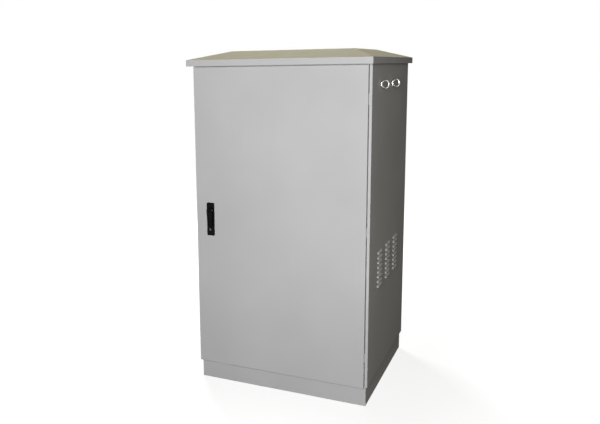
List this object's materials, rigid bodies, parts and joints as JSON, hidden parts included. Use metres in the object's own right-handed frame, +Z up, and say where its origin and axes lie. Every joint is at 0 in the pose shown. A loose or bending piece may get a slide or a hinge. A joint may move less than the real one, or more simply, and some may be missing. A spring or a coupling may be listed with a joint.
{
  "type": "roadside utility cabinet",
  "caption": "Grey sheet-steel outdoor equipment cabinet with a hipped roof, one lockable front door on hidden hinges, side louvres, lifting eyes and a plinth.",
  "frame": {"origin": "middle of the plinth's base on the ground, at the centre of the anchor holes", "axes": "+Z up, +X to the right seen from the door, +Y from the door to the back"},
  "size_m": [0.878, 0.783, 1.518],
  "materials": {
    "grey_powder_coat": "fine-textured light grey powder coat",
    "zinc_plated_steel": "bright zinc plate",
    "bright_steel": "polished nickel plate",
    "black_coated_zinc": "satin black coating on die-cast zinc",
    "black_rubber": "matt black rubber",
    "filter_fleece": "white-grey filter fleece",
    "copper_bar": "bare copper",
    "red_insulator": "moulded polyester, dull red"
  },
  "bodies": {
    "cabinet": {"cable_slot_trim": "black_rubber", "door_frame_header": "grey_powder_coat", "door_frame_sill": "grey_powder_coat", "dust_filter_left": "filter_fleece", "dust_filter_right": "filter_fleece", "earth_bar": "copper_bar", "earth_bolts": "zinc_plated_steel", "earth_insulators": "red_insulator", "equipment_shelf": "zinc_plated_steel", "filter_frame_left": "zinc_plated_steel", "filter_frame_right": "zinc_plated_steel", "floor_bolts": "zinc_plated_steel", "floor_plate": "grey_powder_coat", "hinge_bracket_lower": "black_coated_zinc", "hinge_bracket_middle": "black_coated_zinc", "hinge_bracket_upper": "black_coated_zinc", "hinge_pins": "black_coated_zinc", "left_side_panel": "grey_powder_coat", "lifting_eye_nuts": "zinc_plated_steel", "lifting_eyes_left": "bright_steel", "lifting_eyes_right": "bright_steel", "plinth_front_rail": "grey_powder_coat", "plinth_left_rail": "grey_powder_coat", "plinth_rear_rail": "grey_powder_coat", "plinth_right_rail": "grey_powder_coat", "post_struts": "zinc_plated_steel", "rack_post_front_left": "zinc_plated_steel", "rack_post_front_right": "zinc_plated_steel", "rack_post_rear_left": "zinc_plated_steel", "rack_post_rear_right": "zinc_plated_steel", "rear_panel": "grey_powder_coat", "rear_panel_screws": "zinc_plated_steel", "right_side_panel": "grey_powder_coat", "roof_bolts": "zinc_plated_steel", "roof_cap": "grey_powder_coat", "roof_spacers": "zinc_plated_steel", "shelf_screws": "zinc_plated_steel", "top_plate": "grey_powder_coat"},
    "door": {"door_panel": "grey_powder_coat", "door_seal": "black_rubber", "door_stiffener_lower": "grey_powder_coat", "door_stiffener_upper": "grey_powder_coat", "hinge_knuckle_lower": "black_coated_zinc", "hinge_knuckle_middle": "black_coated_zinc", "hinge_knuckle_upper": "black_coated_zinc", "handle_plate": "black_coated_zinc", "key_barrel": "black_coated_zinc", "key_barrel_nut": "zinc_plated_steel", "lock_case": "zinc_plated_steel", "lock_cover": "zinc_plated_steel", "rod_guide_upper": "zinc_plated_steel", "rod_guide_lower": "zinc_plated_steel"},
    "handle_hub": {"handle_hub": "black_coated_zinc", "lever_pin": "zinc_plated_steel", "lock_pinion": "zinc_plated_steel"},
    "handle_lever": {"handle_lever": "black_coated_zinc"},
    "key_plug": {"key_plug": "bright_steel"},
    "lock_rod_upper": {"lock_rod_upper": "zinc_plated_steel"},
    "lock_rod_lower": {"lock_rod_lower": "zinc_plated_steel"}
  },
  "joints": [
    {"name": "door_swing", "type": "hinge", "parent": "cabinet", "child": "door", "pos_m": [0.382, -0.363, 0.771], "axis": [0, 0, 1], "range_deg": [0, 120]},
    {"name": "handle_turn", "type": "hinge", "parent": "door", "child": "handle_hub", "pos_m": [-0.318, -0.38, 0.82], "axis": [0, -1, 0], "range_deg": [0, 90]},
    {"name": "lever_lift", "type": "hinge", "parent": "handle_hub", "child": "handle_lever", "pos_m": [-0.318, -0.3865, 0.82], "axis": [-1, 0, 0], "range_deg": [0, 40]},
    {"name": "key_turn", "type": "hinge", "parent": "door", "child": "key_plug", "pos_m": [-0.318, -0.38, 0.73], "axis": [0, -1, 0], "range_deg": [0, 90]},
    {"name": "rod_upper_slide", "type": "slide", "parent": "door", "child": "lock_rod_upper", "axis": [0, 0, 1], "range_m": [-0.019, 0]},
    {"name": "rod_lower_slide", "type": "slide", "parent": "door", "child": "lock_rod_lower", "axis": [0, 0, 1], "range_m": [0, 0.019]}
  ],
  "couplings": [
    {"joint": "rod_upper_slide", "follows": "handle_turn", "m_per_rad": -0.012},
    {"joint": "rod_lower_slide", "follows": "handle_turn", "m_per_rad": 0.012}
  ]
}
